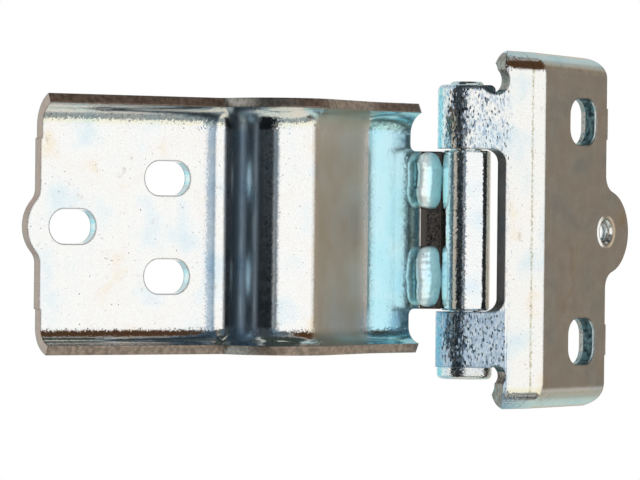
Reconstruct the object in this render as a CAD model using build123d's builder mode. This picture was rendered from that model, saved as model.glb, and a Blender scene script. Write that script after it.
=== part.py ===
"""Car door hinge: a pillar bracket with two rolled knuckles, a pin, and a channel-shaped
door leaf welded to the barrel between them. Millimetres. Everything is drawn round the pin's
axis, with +Z up the pin and the bracket's seat facing -Y, and at the end it is moved so that
the origin is on the seat, half way between the two bolt holes."""
import math
import os

from build123d import *

os.makedirs("parts", exist_ok=True)

# Pin and barrel
pin_radius = 4.0
running_gap = 0.03
barrel_radius = 6.25
barrel_length = 40.6
knuckle_radius = 7.4
upper_knuckle = (20.7, 37.0)
lower_knuckle = (-34.7, -20.6)
knuckle_rim = 1.4
pin_head_radius = 7.0
pin_head_height = 3.0
peened_radius = 4.2
peened_height = 0.8

# Pillar bracket: its front face leaves the knuckle as the ear, then bends to web and plate
bracket_sheet = 3.4
ear_angle = -42.5
ear_length = 8.02
web_angle = -20.5
seat_y = -15.2
ear_bend = 8.0
web_bend = 6.0
pan_rim = 4.6
pan_top_edge = 5.4
pan_bottom_edge = 6.6
pan_top = 46.1
pan_bottom = 45.7
pan_top_taper = 0.025
pan_bottom_taper = 0.006
pan_left = 0.33
pan_corner = 5.0
plate_end = 42.95
plate_corner = 4.6
window_edge = 0.63
window_corner = 3.5
upper_notch = (-2.1, 38.2)
upper_notch_radius = 3.6
lower_notch = (-1.4, -36.8)
lower_notch_radius = 2.6
roll_gap_angle = 62.0
bolt_hole_x = 31.65
bolt_hole_z = 28.3
bolt_hole_width = 12.6
bolt_hole_height = 12.0
bolt_hole_corner = 4.3
lobe_x = 43.25
lobe_radius = 10.8
lobe_fillet = 4.5
tapped_radius = 2.5
tapped_rim = 0.7

# Backing plate behind the bracket's plate
backing_sheet = 1.3
backing_start = 22.15
backing_height = 77.0
backing_relief = 8.0
tab_width = 8.05
tab_z = 28.0
tab_thickness = 1.2

# Door leaf: its front face runs from the free end to the barrel
leaf_sheet = 2.5
leaf_angle = -19.5
leaf_corner = Vector(-65.55, 27.02)
leaf_crest = Vector(-73.40, 3.60)
leaf_rise = Vector(-29.09, 10.97)
leaf_root = Vector(-7.43, 8.51)
leaf_tip = Vector(-3.01, 1.84)
leaf_length = 53.9
channel_end = 17.2
top_flange = (24.15, 6.0, 0.1)
bottom_flange = (24.38, 4.3, 1.0)
flange_bend = 66.0
slot_length = 13.3
slot_width = 8.4
tongue_radius = 9.0
tongue_reach = 57.9
tongue_fillet = 4.0
neck_height = 40.0
neck_fillet = 1.8

# Weld beads between the leaf and the barrel
upper_bead = (5.3, 19.8)
lower_bead = (-19.5, -4.0)
bead_rounding = 0.8


def direction(angle):
    """Unit vector in plan at an angle from +X."""
    return Vector(math.cos(math.radians(angle)), math.sin(math.radians(angle)))


def front_normal(along):
    """Unit vector square to a plan direction, on the side of the front face."""
    return Vector(along.Y, -along.X)


def nearest(shapes, point):
    """The edge or vertex of a list that is nearest to a point."""
    return shapes.sort_by_distance(point)[0]


# Hinge pin: shank, flat head below the lower knuckle, peened end above the upper one
with BuildPart() as hinge_pin:
    with BuildSketch(Plane.XY.offset(lower_knuckle[0])):
        Circle(pin_radius)
    extrude(amount=upper_knuckle[1] - lower_knuckle[0])
    with BuildSketch(Plane.XY.offset(lower_knuckle[0])):
        Circle(pin_head_radius)
    extrude(amount=-pin_head_height)
    with BuildSketch(Plane.XY.offset(upper_knuckle[1])):
        Circle(peened_radius)
    extrude(amount=peened_height)
    fillet(hinge_pin.edges().sort_by(Axis.Z)[0], radius=1.2)
    chamfer(hinge_pin.edges().sort_by(Axis.Z)[-1], length=0.5)
hinge_pin.part.label = "hinge_pin"

# Barrel tube, free to turn on the pin
with BuildPart() as barrel_tube:
    Cylinder(barrel_radius, barrel_length)
    outer_rims = barrel_tube.edges().filter_by(GeomType.CIRCLE)
    chamfer(outer_rims, length=0.5)
    Cylinder(pin_radius + running_gap, barrel_length, mode=Mode.SUBTRACT)
barrel_tube.part.label = "barrel_tube"

# Door leaf: the channel's section is swept along the plan line of its front face
leaf_along = direction(leaf_angle)
leaf_start = leaf_corner - leaf_along * (leaf_length + 8)
rise_along = (leaf_root - leaf_rise).normalized()
channel_stop = leaf_rise + rise_along * channel_end
leaf_plane = Plane(origin=leaf_corner, x_dir=leaf_along, z_dir=front_normal(leaf_along))


def flange_points(flat, radius, straight):
    """Where a flange turns forward and where it ends, in the section: rise, then distance out."""
    setback = radius * math.tan(math.radians(flange_bend / 2))
    tip = (setback + straight) * direction(flange_bend)
    return (0, flat + setback), (tip.Y, flat + setback + tip.X)


top_turn, top_tip = flange_points(*top_flange)
bottom_turn, bottom_tip = flange_points(*bottom_flange)

with BuildPart() as door_leaf:
    with BuildLine() as leaf_line:
        Polyline(leaf_start, leaf_corner, leaf_crest, leaf_rise, channel_stop)
        fillet(nearest(leaf_line.vertices(), leaf_corner), radius=3.8)
        fillet(nearest(leaf_line.vertices(), leaf_crest), radius=11.0)
        fillet(nearest(leaf_line.vertices(), leaf_rise), radius=30.0)
    with BuildSketch(Plane(origin=leaf_start, x_dir=front_normal(leaf_along), z_dir=leaf_along)):
        with BuildLine():
            FilletPolyline(
                bottom_tip,
                bottom_turn,
                (0, -top_turn[1]),
                (top_tip[0], -top_tip[1]),
                radius=(bottom_flange[1], top_flange[1]),
            )
            offset(amount=leaf_sheet, side=Side.RIGHT)
        make_face()
    sweep(path=leaf_line.wires()[0])

    # Narrow neck that reaches the barrel, square on to it
    with BuildSketch(Plane.XY.offset(-neck_height / 2)):
        with BuildLine() as neck_line:
            Polyline(leaf_rise + (leaf_root - leaf_rise) * 0.4, leaf_root, leaf_tip)
            fillet(nearest(neck_line.vertices(), leaf_root), radius=2.5)
            offset(amount=leaf_sheet, side=Side.LEFT)
        make_face()
    extrude(amount=neck_height)
    Cylinder(barrel_radius, 2 * barrel_length, mode=Mode.SUBTRACT)
    with BuildSketch(Plane(origin=channel_stop, x_dir=rise_along, z_dir=front_normal(rise_along))):
        for side in (-1, 1):
            with Locations((neck_fillet / 2, side * (neck_height + neck_fillet) / 2)):
                Rectangle(neck_fillet, neck_fillet)
            with Locations((neck_fillet, side * (neck_height / 2 + neck_fillet))):
                Circle(neck_fillet, mode=Mode.SUBTRACT)
    extrude(amount=-leaf_sheet)

    # Free end: square-cut flanges and a rounded tongue between them
    with BuildSketch(leaf_plane) as free_end:
        with Locations((-leaf_length - 10, 0)):
            Rectangle(20, 80)
        with Locations((-leaf_length - 0.1, 0.6)):
            Rectangle(0.6, 41.2, mode=Mode.SUBTRACT)
        with Locations((tongue_radius - tongue_reach, 0)):
            Circle(tongue_radius, mode=Mode.SUBTRACT)
        for side in (-1, 1):
            tongue_side = (-leaf_length - 0.4, side * 7.4)
            fillet(nearest(free_end.vertices(), tongue_side), radius=tongue_fillet)
    extrude(amount=15, both=True, mode=Mode.SUBTRACT)

    with BuildSketch(leaf_plane):
        with Locations((-17.7, 12), (-17.7, -12), (-45, 0)):
            SlotOverall(slot_length, slot_width)
    extrude(amount=5, both=True, mode=Mode.SUBTRACT)
door_leaf.part.label = "door_leaf"

# Weld beads: they fill the corner between the leaf, the neck and the barrel
neck_along = (leaf_tip - leaf_root).normalized()


def weld_bead(bottom, top):
    """A bead between two heights, trimmed to the leaf and the barrel."""
    with BuildPart() as bead:
        section_plane = Plane(origin=(0, 0, top), x_dir=neck_along, z_dir=(0, 0, -1))
        with BuildSketch(section_plane) as section:
            with BuildLine():
                Polyline(
                    (-12.5, 2.7),
                    (-12.4, 4.2),
                    (-11.4, 5.1),
                    (-9.2, 4.5),
                    (-6.0, 1.0),
                    (-6.5, 0),
                    (-11.0, 0),
                    close=True,
                )
            make_face()
            fillet(section.vertices().sort_by(Axis.Y)[-3:], radius=bead_rounding)
        extrude(amount=top - bottom)
        add(door_leaf.part, mode=Mode.SUBTRACT)
        Cylinder(barrel_radius, 2 * barrel_length, mode=Mode.SUBTRACT)
    return bead.part


with BuildPart() as upper_weld_bead:
    add(weld_bead(*upper_bead))
upper_weld_bead.part.label = "upper_weld_bead"

with BuildPart() as lower_weld_bead:
    add(weld_bead(*lower_bead))
lower_weld_bead.part.label = "lower_weld_bead"

# Pillar bracket: the plan line of its front face
ear_along = direction(ear_angle)
web_along = direction(web_angle)
web_normal = front_normal(web_along)
ear_start = front_normal(ear_along) * knuckle_radius
web_start = ear_start + ear_along * ear_length
crease = web_start + web_along * ((seat_y - web_start.Y) / web_along.Y)
web_plane = Plane(origin=web_start, x_dir=web_along, z_dir=web_normal)
bends = ((web_start, ear_bend), (crease, web_bend))
full_line = (web_start - ear_along * 6, web_start, crease, Vector(60, seat_y))


def bracket_strip(points, front, back):
    """Plan of a layer of the bracket between two depths behind its front face."""
    with BuildSketch() as strip:
        for depth, mode in ((back, Mode.ADD), (front, Mode.SUBTRACT)):
            if depth:
                with BuildLine() as line:
                    Polyline(*points)
                    for corner, radius in bends[: len(points) - 2]:
                        fillet(nearest(line.vertices(), corner), radius=radius)
                    offset(amount=depth, side=Side.LEFT)
                make_face(mode=mode)
    return strip.sketch


def pan_body(front, inset, edge_radii):
    """The pan's outside or its hollow, deeper than the rim, with its long edges rounded."""
    with BuildPart() as body:
        with BuildSketch(Plane.XY.offset(-60)):
            add(bracket_strip(full_line, front, 14))
        extrude(amount=120)
        with BuildSketch(Plane.XZ):
            with BuildLine():
                Polyline(
                    (-20, pan_top - inset + 20 * pan_top_taper),
                    (60, pan_top - inset - 60 * pan_top_taper),
                    (60, -pan_bottom + inset + 60 * pan_bottom_taper),
                    (-20, -pan_bottom + inset - 20 * pan_bottom_taper),
                    close=True,
                )
            make_face()
        extrude(amount=60, both=True, mode=Mode.INTERSECT)
        for side, radius in ((-1, edge_radii[0]), (0, edge_radii[1])):
            long_face = body.faces().sort_by(Axis.Z)[side]
            fillet(long_face.edges().filter_by(on_front(front)), radius=radius)
    return body.part


def on_front(depth):
    """Test for an edge that lies on the line at a depth behind the bracket's front face."""
    with BuildLine() as line:
        Polyline(*full_line)
        for corner, radius in bends:
            fillet(nearest(line.vertices(), corner), radius=radius)
        if depth:
            offset(amount=depth, side=Side.LEFT, mode=Mode.REPLACE, closed=False)

    def test(edge):
        middle = edge @ 0.5
        return line.line.distance_to(Vertex(middle.X, middle.Y, 0)) < 0.05

    return test


with BuildPart() as pillar_bracket:
    add(pan_body(0, 0, (pan_top_edge, pan_bottom_edge)))
    inner_radii = (pan_top_edge - bracket_sheet, pan_bottom_edge - bracket_sheet)
    add(pan_body(bracket_sheet, bracket_sheet, inner_radii), mode=Mode.SUBTRACT)
    with BuildSketch(Plane.XY.offset(-60)):
        add(bracket_strip(full_line, pan_rim, 16))
    extrude(amount=120, mode=Mode.SUBTRACT)

    # Right-hand outline: rounded corners and a lobe round the tapped hole
    with BuildSketch(Plane.XZ) as right_cut:
        with Locations((plate_end + 15, 0)):
            Rectangle(30, 120)
        with Locations((lobe_x, 0)):
            Circle(lobe_radius, mode=Mode.SUBTRACT)
        for side in (-1, 1):
            fillet(nearest(right_cut.vertices(), (plate_end, side * lobe_radius)), radius=lobe_fillet)
        corner_x = plate_end - plate_corner
        for side, half, taper in ((1, pan_top, pan_top_taper), (-1, pan_bottom, pan_bottom_taper)):
            corner_z = side * (half - taper * corner_x - plate_corner)
            with Locations((corner_x + 5, corner_z + side * 5)):
                Rectangle(10, 10)
            with Locations((corner_x, corner_z)):
                Circle(plate_corner, mode=Mode.SUBTRACT)
    extrude(amount=60, both=True, mode=Mode.SUBTRACT)

    # Left-hand outline of the pan, cut square to the web, with rounded corners
    with BuildSketch(web_plane):
        with Locations((pan_left - 20, 0)):
            Rectangle(40, 120)
        for side, half in ((1, pan_top), (-1, pan_bottom)):
            corner_z = side * (half - pan_corner)
            with Locations((pan_left + pan_corner - 5, corner_z + side * 5)):
                Rectangle(10, 10)
            with Locations((pan_left + pan_corner, corner_z)):
                Circle(pan_corner, mode=Mode.SUBTRACT)
    extrude(amount=30, both=True, mode=Mode.SUBTRACT)

    # Ears, and the strip between them that the window is cut from
    for bottom, top in (lower_knuckle, upper_knuckle):
        with BuildSketch(Plane.XY.offset(bottom)):
            add(bracket_strip((ear_start, web_start, web_start + web_along * 6), 0, bracket_sheet))
        extrude(amount=top - bottom)
    with BuildSketch(Plane.XY.offset(lower_knuckle[1] - 0.1)):
        add(bracket_strip((full_line[0], web_start, web_start + web_along * 6), 0, bracket_sheet))
    extrude(amount=upper_knuckle[0] - lower_knuckle[1] + 0.2)

    # Window for the barrel, and the relief notches above and below the ears
    window_height = upper_knuckle[0] - lower_knuckle[1]
    with BuildSketch(web_plane) as window:
        with Locations((window_edge - 6, (upper_knuckle[0] + lower_knuckle[1]) / 2)):
            Rectangle(12, window_height)
        fillet(window.vertices().sort_by(Axis.X)[-2:], radius=window_corner)
    extrude(amount=30, both=True, mode=Mode.SUBTRACT)
    with BuildSketch(web_plane):
        with Locations(upper_notch):
            Circle(upper_notch_radius)
        with Locations(lower_notch):
            Circle(lower_notch_radius)
    extrude(amount=-8, mode=Mode.SUBTRACT)

    # Knuckles; the roll ends just short of the ear's back, as a rolled eye does
    for bottom, top in (lower_knuckle, upper_knuckle):
        with BuildSketch(Plane.XY.offset(bottom)):
            Circle(knuckle_radius)
            with BuildLine():
                gap_reach = knuckle_radius + 1
                gap_start = front_normal(ear_along) * gap_reach
                gap_width = gap_reach * math.tan(math.radians(roll_gap_angle))
                Polyline((0, 0), gap_start, gap_start + ear_along * gap_width, close=True)
            make_face(mode=Mode.SUBTRACT)
            Circle(pin_radius, mode=Mode.SUBTRACT)
        extrude(amount=top - bottom)
    knuckle_top = upper_knuckle[1]
    top_rims = pillar_bracket.edges().filter_by_position(Axis.Z, knuckle_top - 0.01, knuckle_top + 0.01)
    round_rims = top_rims.filter_by(GeomType.CIRCLE)
    fillet(round_rims.filter_by(lambda e: abs(e.radius - knuckle_radius) < 0.01), radius=knuckle_rim)

    # Bolt holes and the tapped hole
    with BuildSketch(Plane.XZ):
        with Locations((bolt_hole_x, bolt_hole_z), (bolt_hole_x, -bolt_hole_z)):
            RectangleRounded(bolt_hole_width, bolt_hole_height, bolt_hole_corner)
        with Locations((lobe_x, 0)):
            Circle(tapped_radius)
    extrude(amount=30, both=True, mode=Mode.SUBTRACT)
    round_edges = pillar_bracket.edges().filter_by(GeomType.CIRCLE)
    tapped_rims = round_edges.sort_by_distance((lobe_x, seat_y, 0))[:2]
    chamfer(tapped_rims, length=tapped_rim)
pillar_bracket.part.label = "pillar_bracket"

# Backing plate inside the pan, with two tabs folded over the plate's edge
backing_front = seat_y + bracket_sheet
with BuildPart() as backing_plate:
    with BuildSketch(Plane.XZ.offset(-backing_front)):
        with Locations(((backing_start + plate_end) / 2, 0)):
            Rectangle(plate_end - backing_start, backing_height)
        with Locations((lobe_x, 0)):
            Circle(backing_relief, mode=Mode.SUBTRACT)
        for side in (-1, 1):
            with Locations((plate_end + tab_thickness / 2, side * tab_z)):
                Rectangle(tab_thickness, tab_width)
        with Locations((bolt_hole_x, bolt_hole_z), (bolt_hole_x, -bolt_hole_z)):
            RectangleRounded(bolt_hole_width, bolt_hole_height, bolt_hole_corner, mode=Mode.SUBTRACT)
    extrude(amount=-backing_sheet)
    with BuildSketch(Plane.XZ.offset(-backing_front)):
        for side in (-1, 1):
            with Locations((plate_end + tab_thickness / 2, side * tab_z)):
                Rectangle(tab_thickness, tab_width)
    extrude(amount=bracket_sheet - 0.4)
    tab_back = backing_plate.edges().filter_by(Axis.Z).group_by(Axis.X)[-1].group_by(Axis.Y)[-1]
    fillet(tab_back, radius=1.0)
backing_plate.part.label = "backing_plate"

# The part's own frame: origin on the seat, between the bolt holes
seat_shift = Location((-bolt_hole_x, -seat_y, 0))
hinge_pin.part.move(seat_shift)
barrel_tube.part.move(seat_shift)
door_leaf.part.move(seat_shift)
upper_weld_bead.part.move(seat_shift)
lower_weld_bead.part.move(seat_shift)
pillar_bracket.part.move(seat_shift)
backing_plate.part.move(seat_shift)

export_step(hinge_pin.part, "parts/hinge_pin.step")
export_step(barrel_tube.part, "parts/barrel_tube.step")
export_step(door_leaf.part, "parts/door_leaf.step")
export_step(upper_weld_bead.part, "parts/upper_weld_bead.step")
export_step(lower_weld_bead.part, "parts/lower_weld_bead.step")
export_step(pillar_bracket.part, "parts/pillar_bracket.step")
export_step(backing_plate.part, "parts/backing_plate.step")
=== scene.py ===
"""Car door hinge, zinc plated: finishes, weld beads, thread, camera and studio."""

import math

import bpy
import numpy as np
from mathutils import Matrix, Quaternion, Vector


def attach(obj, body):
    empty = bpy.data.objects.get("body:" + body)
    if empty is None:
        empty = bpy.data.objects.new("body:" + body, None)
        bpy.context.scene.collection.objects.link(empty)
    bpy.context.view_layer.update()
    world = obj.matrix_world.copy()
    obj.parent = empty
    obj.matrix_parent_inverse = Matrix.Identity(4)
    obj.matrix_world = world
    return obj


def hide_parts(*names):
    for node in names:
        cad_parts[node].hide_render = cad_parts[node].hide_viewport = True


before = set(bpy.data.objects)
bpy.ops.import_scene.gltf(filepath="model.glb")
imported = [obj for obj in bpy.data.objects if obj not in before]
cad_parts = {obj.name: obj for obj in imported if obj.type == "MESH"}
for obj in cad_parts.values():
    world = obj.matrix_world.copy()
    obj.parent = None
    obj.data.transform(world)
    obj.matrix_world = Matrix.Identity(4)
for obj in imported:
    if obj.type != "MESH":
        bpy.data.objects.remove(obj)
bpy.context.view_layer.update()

# The photograph looks square at the pin; these are the view's own axes in the part's frame
PIN = Vector((-0.03165, 0.0152, 0.0))
VIEW_TURN = math.radians(33.5)
AWAY = Vector((math.cos(VIEW_TURN), math.sin(VIEW_TURN), 0.0))
RIGHT = Vector((math.sin(VIEW_TURN), -math.cos(VIEW_TURN), 0.0))
UP = Vector((0.0, 0.0, 1.0))
TO_EYE = -np.array(AWAY)
RIGHTWARD = np.array(RIGHT)

# Camera: distance from the pin in metres, focal length in pixels of the photograph's width, and how far it is
# turned aside, tipped down and rolled, in degrees
EYE_DISTANCE = 1.234
FOCAL_PIXELS = 4850
PHOTO_WIDTH = 640
SENSOR_MM = 36.0
TURNED_ASIDE, TIPPED_DOWN, ROLLED = 1.717, 0.130, 0.6

# Leaf: front normal and direction of its bolting plate, the plate's corner at the joggle, the heights past which
# its flanges' tips begin, and the places along the plate, from that corner, past which the free end and the
# stretch clear of the joggle begin
LEAF_FRONT = np.array((-0.3338, -0.9426, 0.0))
LEAF_ALONG = np.array((0.9426, -0.3338, 0.0))
LEAF_CORNER = (-0.0972, 0.04222, 0.0)
TOP_TIP, BOTTOM_TIP = 0.0298, -0.0288
FREE_END, CLEAR_OF_JOGGLE = -0.0518, -0.005

# Bracket: front normal of its web, where the web bends into the plate, the turned-in rims' height, the bolt
# holes' height and reach round their middle, and the tapped hole's axis
WEB_FRONT = np.array((-0.3502, -0.9367, 0.0))
CREASE_X = -0.0191
RIM_Z = 0.0382
HOLE_Z, HOLE_REACH = 0.0283, 0.0075
TAPPED_X = 0.0116
DIE_LINE_X = -0.0223


def linear(hex_colour):
    """sRGB hex to linear red, green, blue and an alpha of 1."""
    parts = [int(hex_colour[i:i + 2], 16) / 255 for i in (0, 2, 4)]
    return [p / 12.92 if p <= 0.04045 else ((p + 0.055) / 1.055) ** 2.4 for p in parts] + [1.0]


def add_node(tree, kind, links=None, **settings):
    """Adds a node; links maps an input's name or number to a value or to another node's output."""
    made = tree.nodes.new(kind)
    for name, value in settings.items():
        setattr(made, name, value)
    for key, value in (links or {}).items():
        if isinstance(value, bpy.types.NodeSocket):
            tree.links.new(value, made.inputs[key])
        else:
            made.inputs[key].default_value = value
    return made


def zinc_plating(name, steel, roughness, facets, peel, calm=1.0, drawn=1.0, grown=1.0, edge=0.0,
                 round_pin=None, relief=None):
    """Bright zinc with a clear blue passivate on pressed steel.

    Gives the eye: mirror-like but crystalline, so a reflection's edge breaks into sparkle; faint blue,
    straw and rose clouds from the passivate; small dark pits; brown smudges; dull sheared edges.
    steel is the plating's colour, facets how far its crystals lean, and peel the orange peel's height in metres.
    Flat faces keep the calm share of the crystals' lean; drawn and grown squeeze the peel's and the crystals'
    pattern along the pin, which stretches them out. edge is the radius of a sheared edge in metres.
    round_pin gives the two distances from the pin, in metres, between which the crystals calm down.
    relief is a function that gives the height of pressed details in metres and the share of a die's mark.
    """
    material = bpy.data.materials.new(name)
    material.use_nodes = True
    tree = material.node_tree
    shader = tree.nodes["Principled BSDF"]
    shader.inputs["Metallic"].default_value = 1.0
    place = add_node(tree, "ShaderNodeTexCoord").outputs["Object"]

    # Passivate clouds some 12 mm across, stains of 4 mm, grey grain of 0.4 mm and pits of 0.5 mm; the last two
    # are drawn as coarse as they need to show
    clouds = add_node(tree, "ShaderNodeTexNoise", {"Vector": place, "Scale": 85.0, "Detail": 3.0}).outputs["Fac"]
    stains = add_node(tree, "ShaderNodeTexNoise", {"Vector": place, "Scale": 240.0, "Detail": 5.0,
                                                   "Roughness": 0.65}).outputs["Fac"]
    grain = add_node(tree, "ShaderNodeTexNoise", {"Vector": place, "Scale": 2600.0, "Detail": 1.0}).outputs["Fac"]
    pits = add_node(tree, "ShaderNodeTexNoise", {"Vector": place, "Scale": 1900.0, "Detail": 1.0}).outputs["Fac"]
    tint = add_node(tree, "ShaderNodeValToRGB", {"Fac": clouds})
    stops = tint.color_ramp.elements
    stops[0].position = 0.30
    stops[0].color = linear("e6f5fc")
    stops[1].position = 0.74
    stops[1].color = linear("fbf2de")
    stops.new(0.48).color = linear("fdfefd")
    stops.new(0.62).color = linear("fefcfa")
    body = add_node(tree, "ShaderNodeMix", {"Factor": 1.0, 6: tint.outputs["Color"], 7: linear(steel)},
                    data_type="RGBA", blend_type="MULTIPLY").outputs[2]
    for pattern, low, high, share, colour in ((stains, 0.63, 0.76, 0.5, "a08c74"),
                                              (grain, 0.35, 0.6, 0.10, "9a958c"),
                                              (pits, 0.735, 0.775, 1.0, "4e473f")):
        shown = add_node(tree, "ShaderNodeMapRange", {"Value": pattern, "From Min": low, "From Max": high,
                                                      "To Max": share}).outputs[0]
        body = add_node(tree, "ShaderNodeMix", {"Factor": shown, 6: body, 7: linear(colour)},
                        data_type="RGBA").outputs[2]

    # Orange peel of 3 mm over the pressing, drawn out along the pin on a tube
    laid = add_node(tree, "ShaderNodeMapping", {"Vector": place, "Scale": (1.0, 1.0, drawn)}).outputs[0]
    orange = add_node(tree, "ShaderNodeTexNoise", {"Vector": laid, "Scale": 330.0, "Detail": 3.0}).outputs["Fac"]
    waves = add_node(tree, "ShaderNodeBump", {"Height": orange, "Strength": 1.0, "Distance": peel})
    lowest = waves
    if relief:
        height, die_mark = relief(tree, place)
        body = add_node(tree, "ShaderNodeMix", {"Factor": die_mark, 6: body, 7: linear("a79f72")},
                        data_type="RGBA").outputs[2]
        lowest = add_node(tree, "ShaderNodeBump", {"Height": height, "Strength": 1.0, "Distance": 1.0})
        tree.links.new(lowest.outputs[0], waves.inputs["Normal"])
    if edge:
        # Rolled-over edge of a sheared sheet, drawn darker where its rounded normal turns from the face
        rounded = add_node(tree, "ShaderNodeBevel", {"Radius": edge}, samples=4).outputs[0]
        tree.links.new(rounded, lowest.inputs["Normal"])
        faced = add_node(tree, "ShaderNodeNewGeometry").outputs["Normal"]
        turned = add_node(tree, "ShaderNodeVectorMath", {0: rounded, 1: faced},
                          operation="DOT_PRODUCT").outputs["Value"]
        edge_darkened = add_node(tree, "ShaderNodeMapRange", {"Value": turned, "From Min": 0.996, "From Max": 0.965,
                                                     "To Max": 0.95}).outputs[0]
        body = add_node(tree, "ShaderNodeMix", {"Factor": edge_darkened, 6: body, 7: linear("5d544a")},
                        data_type="RGBA").outputs[2]

    # Zinc crystals, each leaning its own way; the cube of the lean leaves most of them nearly level. Real ones
    # are too fine to show, and are drawn 0.3 mm across, as wide as the sparkle that shows
    bent = add_node(tree, "ShaderNodeAttribute", attribute_name="bent").outputs["Fac"]
    stretched = add_node(tree, "ShaderNodeMapping", {"Vector": place, "Scale": (1.0, 1.0, grown)}).outputs[0]
    crystals = add_node(tree, "ShaderNodeTexVoronoi", {"Vector": stretched, "Scale": 3000.0}).outputs["Color"]
    lean = add_node(tree, "ShaderNodeVectorMath", {0: crystals, 1: (2.0, 2.0, 2.0), 2: (-1.0, -1.0, -1.0)},
                    operation="MULTIPLY_ADD").outputs[0]
    square = add_node(tree, "ShaderNodeVectorMath", {0: lean, 1: lean}, operation="MULTIPLY").outputs[0]
    cube = add_node(tree, "ShaderNodeVectorMath", {0: square, 1: lean}, operation="MULTIPLY").outputs[0]
    reach = add_node(tree, "ShaderNodeMapRange", {"Value": bent, "To Min": facets * calm,
                                                  "To Max": facets}).outputs[0]
    if round_pin:
        from_pin = add_node(tree, "ShaderNodeVectorMath", {0: place, 1: (1.0, 1.0, 0.0), 2: (-PIN.x, -PIN.y, 0.0)},
                            operation="MULTIPLY_ADD").outputs[0]
        far = add_node(tree, "ShaderNodeVectorMath", {0: from_pin}, operation="LENGTH").outputs["Value"]
        near = add_node(tree, "ShaderNodeMapRange", {"Value": far, "From Min": round_pin[0],
                                                     "From Max": round_pin[1], "To Min": facets * 0.65,
                                                     "To Max": facets * calm}).outputs[0]
        reach = add_node(tree, "ShaderNodeMath", {0: reach, 1: near}, operation="MAXIMUM").outputs[0]
    leaning = add_node(tree, "ShaderNodeVectorMath", {0: cube, "Scale": reach}, operation="SCALE").outputs[0]
    skin = add_node(tree, "ShaderNodeVectorMath", {0: waves.outputs[0], 1: leaning}, operation="ADD").outputs[0]
    skin = add_node(tree, "ShaderNodeVectorMath", {0: skin}, operation="NORMALIZE").outputs[0]
    # The steeper crystals hold a bluer passivate
    steep = add_node(tree, "ShaderNodeVectorMath", {0: leaning}, operation="LENGTH").outputs["Value"]
    blued = add_node(tree, "ShaderNodeMapRange", {"Value": steep, "From Min": 0.09, "From Max": 0.22,
                                                  "To Max": 0.6}).outputs[0]
    body = add_node(tree, "ShaderNodeMix", {"Factor": blued, 6: body, 7: linear("6f9cc8")},
                    data_type="RGBA").outputs[2]

    # Sheared steel: dull and brown-grey, with the die's scores some 1 mm apart; browner at the leaf's free end
    sheared = add_node(tree, "ShaderNodeAttribute", attribute_name="sheared").outputs["Fac"]
    scores = add_node(tree, "ShaderNodeTexNoise", {"Vector": place, "Scale": 800.0, "Detail": 3.0}).outputs["Fac"]
    scored = add_node(tree, "ShaderNodeMapRange", {"Value": scores, "From Min": 0.38, "From Max": 0.62}).outputs[0]
    shear = add_node(tree, "ShaderNodeMix", {"Factor": scored, 6: linear("cdb8ac"), 7: linear("a39387")},
                     data_type="RGBA").outputs[2]
    browned = add_node(tree, "ShaderNodeAttribute", attribute_name="browned").outputs["Fac"]
    shear = add_node(tree, "ShaderNodeMix", {"Factor": browned, 6: shear, 7: linear("e0b3a4")},
                     data_type="RGBA").outputs[2]
    # A bolt hole's wall keeps its bright zinc at the mouth, and past 0.5 mm is dark teal: partly its torn steel,
    # partly painted shade deep in the hole
    bored = add_node(tree, "ShaderNodeAttribute", attribute_name="bored").outputs["Fac"]
    depth = add_node(tree, "ShaderNodeSeparateXYZ", {0: place}).outputs["Y"]
    torn_and_shaded = add_node(tree, "ShaderNodeMapRange", {"Value": depth, "From Min": 0.0004, "From Max": 0.0007}).outputs[0]
    torn_and_shaded = add_node(tree, "ShaderNodeMath", {0: torn_and_shaded, 1: bored}, operation="MULTIPLY").outputs[0]
    torn_and_shaded_colour = add_node(tree, "ShaderNodeMix", {"Factor": scored, 6: linear("2f3e42"), 7: linear("6f878b")},
                      data_type="RGBA").outputs[2]
    shear = add_node(tree, "ShaderNodeMix", {"Factor": torn_and_shaded, 6: shear, 7: torn_and_shaded_colour}, data_type="RGBA").outputs[2]
    mouth = add_node(tree, "ShaderNodeMath", {0: bored, 1: torn_and_shaded}, operation="SUBTRACT").outputs[0]
    sheared = add_node(tree, "ShaderNodeMath", {0: sheared, 1: mouth}, operation="SUBTRACT").outputs[0]
    # Painted shade: the bracket's window walls are drawn dark grey
    shaded = add_node(tree, "ShaderNodeAttribute", attribute_name="shaded").outputs["Fac"]
    shear = add_node(tree, "ShaderNodeMix", {"Factor": shaded, 6: shear, 7: linear("6b6b6d")},
                     data_type="RGBA").outputs[2]

    # Marked faces, with the tone and haze that each has in the photograph, a little uneven from cloud to cloud; on
    # the joggle's walls these tones are partly the plating's tint and partly painted reflection
    rough = add_node(tree, "ShaderNodeMapRange", {"Value": stains, "From Min": 0.3, "From Max": 0.7,
                                                  "To Min": roughness * 0.75, "To Max": roughness * 1.3}).outputs[0]
    patchy = add_node(tree, "ShaderNodeMapRange", {"Value": clouds, "From Min": 0.35, "From Max": 0.6,
                                                   "To Min": 0.72, "To Max": 1.0}).outputs[0]
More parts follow.
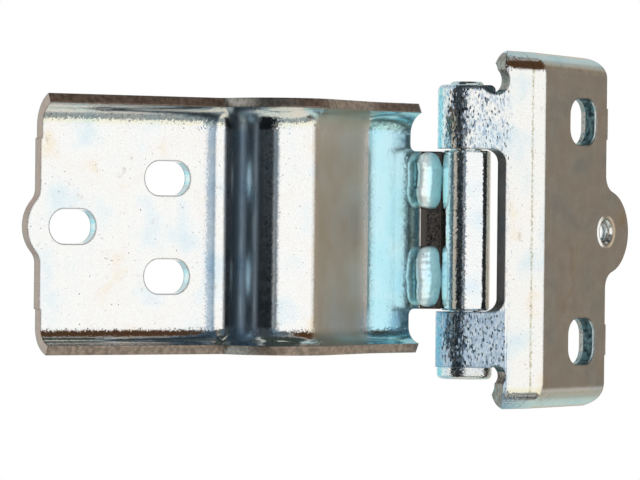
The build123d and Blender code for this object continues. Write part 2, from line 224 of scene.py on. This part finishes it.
    # The scorch mark is weld scorch on the neck and the beads, and painted shade on the backing plate's bolt-hole
    # walls
    for face_mark, tinge, haze in (("brown_grey_tint_and_reflection", "d6cbb9", 0.40), ("steely", "9db6cc", 0.28),
                                   ("cyan_tinged", "a8ecfa", 0.14), ("scorch_and_shade", "4a4642", 0.16)):
        marked = add_node(tree, "ShaderNodeAttribute", attribute_name=face_mark).outputs["Fac"]
        marked = add_node(tree, "ShaderNodeMath", {0: marked, 1: patchy}, operation="MULTIPLY").outputs[0]
        body = add_node(tree, "ShaderNodeMix", {"Factor": marked, 6: body, 7: linear(tinge)},
                        data_type="RGBA").outputs[2]
        rough = add_node(tree, "ShaderNodeMix", {"Factor": marked, 2: rough, 3: haze}).outputs[0]
    finish = add_node(tree, "ShaderNodeMix", {"Factor": sheared, 6: body, 7: shear}, data_type="RGBA").outputs[2]
    rough = add_node(tree, "ShaderNodeMix", {"Factor": sheared, 2: rough, 3: 0.42}).outputs[0]
    tree.links.new(finish, shader.inputs["Base Color"])
    tree.links.new(rough, shader.inputs["Roughness"])
    tree.links.new(skin, shader.inputs["Normal"])
    return material


def bracket_relief(tree, place):
    """Pressed details of the bracket: height of a coined ring round the tapped hole, and share of the die's mark.

    The ring stands 0.2 mm high at 3.3 mm from the hole's axis and falls away by 4.6 mm. The mark is a line
    1 mm wide that fades to its sides, along the web beside the bend, broken into dots of 0.7 mm; it wanders
    by up to 0.6 mm.
    """
    from_hole = add_node(tree, "ShaderNodeVectorMath", {0: place, 1: (1.0, 0.0, 1.0), 2: (-TAPPED_X, 0.0, 0.0)},
                         operation="MULTIPLY_ADD").outputs[0]
    reach = add_node(tree, "ShaderNodeVectorMath", {0: from_hole}, operation="LENGTH").outputs["Value"]
    ring = add_node(tree, "ShaderNodeMapRange", {"Value": reach, "From Min": 0.0046, "From Max": 0.0033,
                                                 "To Max": 0.0002}, interpolation_type="SMOOTHSTEP").outputs[0]
    wander = add_node(tree, "ShaderNodeTexNoise", {"Vector": place, "Scale": 900.0, "Detail": 3.0}).outputs["Fac"]
    aside = add_node(tree, "ShaderNodeMapRange", {"Value": wander, "To Min": -0.0006, "To Max": 0.0006}).outputs[0]
    across = add_node(tree, "ShaderNodeSeparateXYZ", {0: place}).outputs["X"]
    shifted = add_node(tree, "ShaderNodeMath", {0: across, 1: aside}, operation="ADD").outputs[0]
    off_line = add_node(tree, "ShaderNodeMath", {0: shifted, 1: DIE_LINE_X}, operation="SUBTRACT").outputs[0]
    off_line = add_node(tree, "ShaderNodeMath", {0: off_line}, operation="ABSOLUTE").outputs[0]
    line = add_node(tree, "ShaderNodeMapRange", {"Value": off_line, "From Max": 0.0005, "To Min": 0.8,
                                                 "To Max": 0.0}, interpolation_type="SMOOTHSTEP").outputs[0]
    dots = add_node(tree, "ShaderNodeTexNoise", {"Vector": place, "Scale": 1500.0, "Detail": 2.0}).outputs["Fac"]
    dots = add_node(tree, "ShaderNodeMapRange", {"Value": dots, "From Min": 0.40, "From Max": 0.62,
                                                 "To Min": 0.25}).outputs[0]
    return ring, add_node(tree, "ShaderNodeMath", {0: line, 1: dots}, operation="MULTIPLY").outputs[0]


def triangles(node):
    """Middles and outward normals of a CAD node's triangles, as arrays."""
    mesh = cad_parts[node].data
    middles = np.empty(len(mesh.polygons) * 3)
    normals = np.empty(len(mesh.polygons) * 3)
    mesh.polygons.foreach_get("center", middles)
    mesh.polygons.foreach_get("normal", normals)
    return middles.reshape(-1, 3), normals.reshape(-1, 3)


def mark(node, name, share):
    """Writes a share for each triangle of a CAD node; a share above 1 stays full where the patches thin it."""
    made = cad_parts[node].data.attributes.new(name, "FLOAT", "FACE")
    made.data.foreach_set("value", np.asarray(share, dtype=np.float32))


# Leaf: sheared are the flanges' tips and the free end's outline; the flange bends and the neck between the weld
# beads are the roughest, and the neck is scorched
middles, normals = triangles("door_leaf")
outer = (middles[:, 2] > TOP_TIP) | (middles[:, 2] < BOTTOM_TIP)
reach = (middles - LEAF_CORNER) @ LEAF_ALONG
facing = normals @ TO_EYE
steepness = np.abs(normals[:, 2])
tips = outer & (steepness < 0.85) & (facing > -0.05)
end = (np.abs(normals @ LEAF_FRONT) < 0.35) & ((reach < FREE_END) | (outer & (reach < CLEAR_OF_JOGGLE)))
mark("door_leaf", "sheared", tips | end)
mark("door_leaf", "browned", 0.8 * end)
right = (middles[:, 0] - PIN.x) * RIGHT.x + (middles[:, 1] - PIN.y) * RIGHT.y
neck = (right > -0.0136) & (facing > 0.85)
bends = np.clip(steepness / 0.05, 0, 1) * np.clip((0.55 - steepness) / 0.1, 0, 1) * (np.abs(middles[:, 2]) > 0.022)
mark("door_leaf", "bent", np.maximum(bends, 2.0 * neck))
mark("door_leaf", "scorch_and_shade", 1.25 * neck)
# The joggle's walls each keep the tone that they have in the photograph: brown-grey, steel-blue and cyan, partly
# the plating's tint and partly painted reflection of what each wall mirrors. A wall is picked by its place and by
# its turn from the photograph's line of sight, in degrees; the tone stays on it
turn = np.degrees(np.arctan2(normals @ RIGHTWARD, facing))
wall = steepness < 0.97
mark("door_leaf", "brown_grey_tint_and_reflection", wall * np.clip((turn - 46) / 20, 0, 1) * (turn < 100) * (right < -0.024))
mark("door_leaf", "steely", wall * np.clip((-18 - turn) / 10, 0, 1) * (turn > -100)
     * (np.abs(right + 0.0555) < 0.0065))
mark("door_leaf", "cyan_tinged", 0.8 * wall * (turn > 4) * (turn < 56) * (right > -0.0262) * (right < -0.012))

# Bracket: sheared are the window, notches, holes and outline, not the turned-in rim or the rolled ears; the
# window's walls carry painted shade and are the darkest, and the lower ear is the bluest and roughest
middles, normals = triangles("pillar_bracket")
height = np.abs(middles[:, 2])
from_pin = np.hypot(middles[:, 0] - PIN.x, middles[:, 1] - PIN.y)
turned_in = (height > RIM_Z) & (np.abs(normals[:, 2]) > 0.8)
web_edge = (np.abs(normals @ WEB_FRONT) < 0.32) & (from_pin > 0.0075) & ~turned_in
plate_edge = (np.abs(normals[:, 1]) < 0.32) & ((height < RIM_Z) | (np.abs(normals[:, 0]) > 0.5))
lower_ear = (middles[:, 2] < -0.020) & (from_pin < 0.013)
mark("pillar_bracket", "sheared", np.where(middles[:, 0] < CREASE_X, web_edge, plate_edge))
mark("pillar_bracket", "bored", plate_edge & (np.abs(height - HOLE_Z) < HOLE_REACH) & (middles[:, 0] < 0.009))
mark("pillar_bracket", "shaded", web_edge & (height < 0.021) & (middles[:, 0] < CREASE_X))
mark("pillar_bracket", "bent", 1.0 * lower_ear)
mark("pillar_bracket", "steely", 0.75 * lower_ear)

# Backing plate: its bolt holes' walls are a little darker than its face, painted shade inside the holes
middles, normals = triangles("backing_plate")
mark("backing_plate", "scorch_and_shade", 0.3 * ((np.abs(normals[:, 1]) < 0.3) & (np.abs(middles[:, 0]) < 0.008)
                                         & (np.abs(np.abs(middles[:, 2]) - HOLE_Z) < HOLE_REACH)))


def dress(node, material):
    """Gives a CAD node its finish."""
    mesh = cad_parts[node].data
    mesh.materials.clear()
    mesh.materials.append(material)


def surface(name, points):
    """Closed skin over rings of points; ring i, point j is points[i, j], and each end ring closes on its middle."""
    rings, count = points.shape[:2]
    index = np.arange(rings * count).reshape(rings, count)
    ahead = np.roll(index, -1, axis=1)
    quads = np.stack([index[:-1], ahead[:-1], ahead[1:], index[1:]], -1).reshape(-1, 4)
    first, last = rings * count, rings * count + 1
    start = np.stack([ahead[0], index[0], np.full(count, first)], -1)
    finish = np.stack([index[-1], ahead[-1], np.full(count, last)], -1)
    places = np.concatenate([points.reshape(-1, 3), points[:1].mean(axis=1), points[-1:].mean(axis=1)])
    mesh = bpy.data.meshes.new(name)
    mesh.from_pydata(places.tolist(), [], quads.tolist() + start.tolist() + finish.tolist())
    mesh.polygons.foreach_set("use_smooth", np.ones(len(mesh.polygons), dtype=bool))
    made = bpy.data.objects.new(name, mesh)
    bpy.context.collection.objects.link(made)
    return made


def sheet(name, points):
    """Open sheet over a grid of points, for the studio's own floor and dome."""
    rows, columns = points.shape[:2]
    index = np.arange(rows * columns).reshape(rows, columns)
    quads = np.stack([index[:-1, :-1], index[:-1, 1:], index[1:, 1:], index[1:, :-1]], -1).reshape(-1, 4)
    mesh = bpy.data.meshes.new(name)
    mesh.from_pydata(points.reshape(-1, 3).tolist(), [], quads.tolist())
    made = bpy.data.objects.new(name, mesh)
    bpy.context.collection.objects.link(made)
    return made


def weld_bead(name, low, high, seed):
    """A hand-laid fillet weld between neck and barrel, from a low to a high place along the pin in millimetres.

    A closed section, smoothed from its corner points by a Catmull-Rom curve, is carried straight up the pin.
    It swells from nothing at each end as a blunt oval, and leans from side to side by a slow sine. Its size
    follows crescent ripples, a sine of height over 1.7 mm plus the square of the place across the bead, and
    lumps, two slower sines of height and place. The tinge and the scorch are shares for each point.
    """
    corners = np.array([(-12.5, 2.5), (-12.45, 4.1), (-11.3, 5.1), (-9.3, 4.6), (-7.6, 2.9), (-5.9, 1.1),
                        (-6.3, 0.1), (-9.0, -0.1), (-11.6, 0.3)])
    across = np.linspace(0, len(corners), 72, endpoint=False)
    knot = across.astype(int)
    t = (across - knot)[:, None]
    a, b, c, d = [corners[(knot + k) % len(corners)] for k in (-1, 0, 1, 2)]
    section = 0.5 * (2 * b + (c - a) * t + (2 * a - 5 * b + 4 * c - d) * t ** 2 + (3 * b - a - 3 * c + d) * t ** 3)
    middle = np.array((-9.2, 1.9))
    half_width, outermost = 3.3, 5.3
    way = np.linspace(0.002, 0.998, 110)[:, None]
    height = low + (high - low) * way
    swell = (1 - np.abs(2 * way - 1) ** 4) ** 0.45
    place = (section[:, 0] + 9.2)[None, :] / half_width
    ripple = 0.010 * np.sin(2 * np.pi * (height / 1.7 + 0.10 * place ** 2) + seed)
    lump = 0.035 * np.sin(height * 0.8 + seed * 2 + place * 0.8) + 0.015 * np.sin(height * 1.7 - seed + place * 1.5)
    scale = (swell * (1 + ripple + lump))[..., None]
    flat = middle + (section - middle)[None] * scale
    flat[..., 0] += 0.18 * np.sin(height * 0.55 + seed)
    flat[..., 1] = np.minimum(flat[..., 1], outermost)
    points = np.empty(flat.shape[:2] + (3,))
    points[:] = flat[..., :1] * RIGHTWARD + flat[..., 1:] * TO_EYE
    points[..., 2] = height
    made = surface(name, np.array(PIN) + points / 1000)

    # Cyan on the tube's side; scorched along the neck and at both ends. The last two shares are the end middles'
    cyan = np.clip((flat[..., 0] + 10.4) / 2.2, 0, 1)
    scorch = 0.5 * np.clip((-12.0 - flat[..., 0]) / 0.5, 0, 1)
    scorch = np.maximum(scorch, 0.7 * np.clip((0.06 - np.minimum(way, 1 - way)) / 0.05, 0, 1))
    for point_mark, share, at_end in (("cyan_tinged", cyan, 0.5), ("scorch_and_shade", scorch, 0.9)):
        marked = made.data.attributes.new(point_mark, "FLOAT", "POINT")
        marked.data.foreach_set("value", np.append(share.reshape(-1), (at_end, at_end)).astype(np.float32))
    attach(made, "leaf")
    return made


def tapped_thread(name):
    """Thread in the lobe's tapped hole: a rounded triangle, 1 mm from turn to turn, carried along a helix.

    Angle goes round once per millimetre of depth. The ridge stands in 0.29 mm from a radius of 2.53 mm, and
    shrinks to a fiftieth of that over the first and last quarter turn.
    """
    turns_made, first_depth, wall_radius = 2.1, 0.62, 2.53
    turn = np.linspace(0, turns_made * 2 * np.pi, 260)[:, None]
    depth = first_depth + turn / (2 * np.pi)
    run_out = np.minimum(1, np.minimum(turn, turn[-1] - turn) / (np.pi / 2) + 0.02)
    profile = np.array([(2.58, -0.44), (2.47, -0.40), (2.28, -0.12), (2.24, 0.0), (2.28, 0.12), (2.47, 0.40),
                        (2.58, 0.44)])
    radius = wall_radius + (profile[:, 0] - wall_radius)[None] * run_out
    along_hole = depth + profile[:, 1][None] * run_out
    points = np.stack([TAPPED_X * 1000 + radius * np.cos(turn), along_hole, radius * np.sin(turn)], -1)
    made = surface(name, points / 1000)
    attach(made, "bracket")
    return made


leaf_zinc = zinc_plating("zinc_plate_leaf", "fefefd", 0.10, 0.11, 2.5e-5, calm=0.2, edge=0.0006)
bracket_zinc = zinc_plating("zinc_plate_bracket", "fcfbf8", 0.13, 0.34, 3.0e-5, calm=0.035, grown=0.45,
                            edge=0.0006, round_pin=(0.0100, 0.0140), relief=bracket_relief)
barrel_zinc = zinc_plating("zinc_plate_drawn_tube", "fbfdfe", 0.08, 0.075, 1.2e-5, drawn=0.15)
weld_zinc = zinc_plating("zinc_plate_weld", "f4ffff", 0.22, 0.10, 8.0e-5)
weld_zinc.node_tree.nodes["Principled BSDF"].inputs["Metallic"].default_value = 0.55
backing_zinc = zinc_plating("zinc_plate_backing", "d8d2c8", 0.28, 0.15, 4.0e-5)
pin_zinc = zinc_plating("zinc_plate_pin", "eef1f1", 0.18, 0.15, 4.0e-5)
for node, plated in (("door_leaf", leaf_zinc), ("barrel_tube", barrel_zinc), ("upper_weld_bead", weld_zinc),
                     ("lower_weld_bead", weld_zinc), ("pillar_bracket", bracket_zinc),
                     ("backing_plate", backing_zinc), ("hinge_pin", pin_zinc)):
    dress(node, plated)

for bead_name, node, low, high, seed in (("upper_bead", "upper_weld_bead", 5.3, 19.8, 0.4),
                                         ("lower_bead", "lower_weld_bead", -19.5, -4.0, 2.3)):
    bead = weld_bead(bead_name, low, high, seed)
    bead.data.materials.append(weld_zinc)
    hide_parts(node)
thread = tapped_thread("lobe_thread")
thread.data.materials.append(pin_zinc)


# Studio: a white world, with flags and tinted cards round the part that only reflections see
def towards(turn, lift):
    """Direction at an angle round from the camera to its right, and above the horizon."""
    a, e = math.radians(turn), math.radians(lift)
    return (RIGHT * math.sin(a) - AWAY * math.cos(a)) * math.cos(e) + UP * math.sin(e)


# The dome's points lie closer together near the horizon, where the cards' edges are sharpest
spread = np.linspace(-1, 1, 141)
turns, lifts = np.meshgrid(np.linspace(-180, 180, 361), 88 * spread * np.abs(spread) ** 0.6, indexing="ij")
dome_paint = np.zeros(turns.shape + (4,))
dome_paint[..., :3] = 1.0


def card(turn_from, turn_to, lift_from, lift_to, hex_colour, soft=5.0, soft_lift=5.0):
    """Paints a patch of the dome: full inside its bounds, fading straight to nothing over the soft degrees."""
    share = np.ones(turns.shape)
    for angle, low, high, width in ((turns, turn_from, turn_to, soft), (lifts, lift_from, lift_to, soft_lift)):
        share = share * np.clip((angle - low) / width + 0.5, 0, 1) * np.clip((high - angle) / width + 0.5, 0, 1)
    dome_paint[:] = dome_paint * (1 - share[..., None]) + np.array(linear(hex_colour)) * share[..., None]


# A bound at PAST lies beyond the dome, so that the card has no edge there
PAST = 400
# Overhead and underfoot
card(-PAST, PAST, 50, PAST, "39413f")
card(-PAST, PAST, -PAST, -52, "dcd8cc")
# Mirrored in the flanges' bends and walls, above and below
card(40, 128, 13, 50, "4d3727", 6)
card(-62, 40, 16, 50, "5a6468", 6)
card(-62, 106, -31, -13, "fbf9e6", 6)
card(80, 128, -37, -31, "4a2c20", 8, 3)
card(-62, 88, -37, -31, "4e5654", 4, 3)
card(88, 128, -52, -37, "585450", 4, 3)
card(-62, 88, -52, -37, "8f9c9b", 4, 3)
# Mirrored in the bracket's long bends, and behind
card(124, PAST, 22, 60, "b4c8cb", 6)
card(112, PAST, -60, -20, "b9d2d0", 8)
card(-PAST, -62, 20, 58, "c9dde2", 8)
card(-PAST, -62, -58, -22, "b4cfd6", 8)
# Level with the part: cyan on the left, brown-grey on the right
card(-152, -108, -22, 20, "9fe6f2", 8)
card(-108, -74, -22, 20, "e6f9fa", 8)
card(106, 140, -28, 28, "7d7368", 6, 34)
card(122, 152, -26, 22, "bcae98", 8, 20)
card(152, PAST, -26, 24, "c4bfb4", 10)
# Black flag left of the camera, with a paler upper half and right edge
card(-61, -10, -60, 55, "14171a", 8)
card(-61, -10, 0, 55, "3c4348", 8, 4)
card(-10, 0, -60, 55, "3a4148", 8)
card(-10, 0, 0, 55, "5f7688", 8, 4)

round_dome, up_dome = np.radians(turns), np.radians(lifts)
dome_radius = 3.0
dome_points = np.array(PIN) + dome_radius * (
    (np.sin(round_dome) * np.cos(up_dome))[..., None] * RIGHTWARD
    + (np.cos(round_dome) * np.cos(up_dome))[..., None] * TO_EYE
    + np.sin(up_dome)[..., None] * np.array(UP))
dome = sheet("reflection_cards", dome_points)
card_colour = dome.data.color_attributes.new("card_colour", "FLOAT_COLOR", "POINT")
card_colour.data.foreach_set("color", dome_paint.reshape(-1).astype(np.float32))
dome.visible_camera = False
dome.visible_diffuse = False
dome.visible_shadow = False
card_paint = bpy.data.materials.new("reflection_cards")
card_paint.use_nodes = True
card_paint.cycles.emission_sampling = "NONE"
tree = card_paint.node_tree
tree.nodes.clear()
painted = add_node(tree, "ShaderNodeAttribute", attribute_name="card_colour")
glow = add_node(tree, "ShaderNodeEmission", {"Color": painted.outputs["Color"], "Strength": 1.0})
clear = add_node(tree, "ShaderNodeBsdfTransparent")
layers = add_node(tree, "ShaderNodeMixShader", {0: painted.outputs["Alpha"], 1: clear.outputs[0],
                                                2: glow.outputs[0]})
add_node(tree, "ShaderNodeOutputMaterial", {"Surface": layers.outputs[0]})
dome.data.materials.append(card_paint)

# White to the camera and in the metal, a little less as light on the floor
world = bpy.data.worlds.new("white_studio")
world.use_nodes = True
bpy.context.scene.world = world
tree = world.node_tree
tree.nodes.clear()
path = add_node(tree, "ShaderNodeLightPath").outputs
seen = add_node(tree, "ShaderNodeMath", {0: path["Is Camera Ray"], 1: path["Is Glossy Ray"]}, operation="MAXIMUM")
seen = add_node(tree, "ShaderNodeMath", {0: seen.outputs[0], 1: path["Is Transmission Ray"]}, operation="MAXIMUM")
level = add_node(tree, "ShaderNodeMapRange", {"Value": seen.outputs[0], "To Min": 0.8, "To Max": 1.0})
backdrop = add_node(tree, "ShaderNodeBackground", {"Color": (1.0, 1.0, 1.0, 1.0), "Strength": level.outputs[0]})
add_node(tree, "ShaderNodeOutputWorld", {"Surface": backdrop.outputs[0]})

# Floor well below the part, out of the photograph's view; it fades into the white with distance from the pin
FLOOR_Z, FLOOR_REACH = -0.12, 0.9
floor_y, floor_x = np.meshgrid(PIN.y + np.linspace(-FLOOR_REACH, FLOOR_REACH, 13),
                               PIN.x + np.linspace(-FLOOR_REACH, FLOOR_REACH, 13))
floor = sheet("studio_floor", np.stack([floor_x, floor_y, np.full(floor_x.shape, FLOOR_Z)], -1)[:, ::-1])
pale = bpy.data.materials.new("pale_floor")
pale.use_nodes = True
tree = pale.node_tree
shader = tree.nodes["Principled BSDF"]
shader.inputs["Base Color"].default_value = linear("f1f0ee")
shader.inputs["Roughness"].default_value = 0.9
place = add_node(tree, "ShaderNodeTexCoord").outputs["Object"]
from_pin = add_node(tree, "ShaderNodeVectorMath", {0: place, 1: (PIN.x, PIN.y, FLOOR_Z)}, operation="SUBTRACT")
reach = add_node(tree, "ShaderNodeVectorMath", {0: from_pin.outputs[0]}, operation="LENGTH").outputs["Value"]
rim = add_node(tree, "ShaderNodeMapRange", {"Value": reach, "From Min": 0.88, "From Max": 0.30}).outputs[0]
tree.links.new(rim, shader.inputs["Alpha"])
floor.data.materials.append(pale)
floor.visible_glossy = False


def soft_lamp(name, turn, lift, distance, size, watts):
    """A square softbox aimed at the pin; it is not seen in the metal."""
    light = bpy.data.lights.new(name, "AREA")
    light.size = size
    light.energy = watts
    made = bpy.data.objects.new(name, light)
    direction = towards(turn, lift)
    made.location = PIN + direction * distance
    made.rotation_euler = direction.to_track_quat("Z", "Y").to_euler()
    made.visible_glossy = False
    bpy.context.collection.objects.link(made)


soft_lamp("softbox_over", 20, 70, 1.5, 1.2, 9)
soft_lamp("softbox_left", -62, 30, 1.6, 0.9, 4)
soft_lamp("softbox_right", 50, 15, 1.6, 0.9, 10)

# Camera at the photograph's place; it is level with the barrel's middle and turned a little on its axis
lens_camera = bpy.data.cameras.new("photo_camera")
lens_camera.sensor_width = SENSOR_MM
lens_camera.lens = FOCAL_PIXELS / PHOTO_WIDTH * SENSOR_MM
lens_camera.clip_start = 0.05
lens_camera.clip_end = 20.0
photo_camera = bpy.data.objects.new("photo_camera", lens_camera)
bpy.context.collection.objects.link(photo_camera)
photo_camera.location = PIN - AWAY * EYE_DISTANCE
look = Quaternion(UP, math.radians(TURNED_ASIDE)) @ (AWAY - UP * math.tan(math.radians(TIPPED_DOWN)))
roll = Quaternion((0.0, 0.0, 1.0), math.radians(ROLLED))
photo_camera.rotation_euler = (look.to_track_quat("-Z", "Y") @ roll).to_euler()
bpy.context.scene.camera = photo_camera
bpy.context.scene.view_settings.view_transform = "Standard"
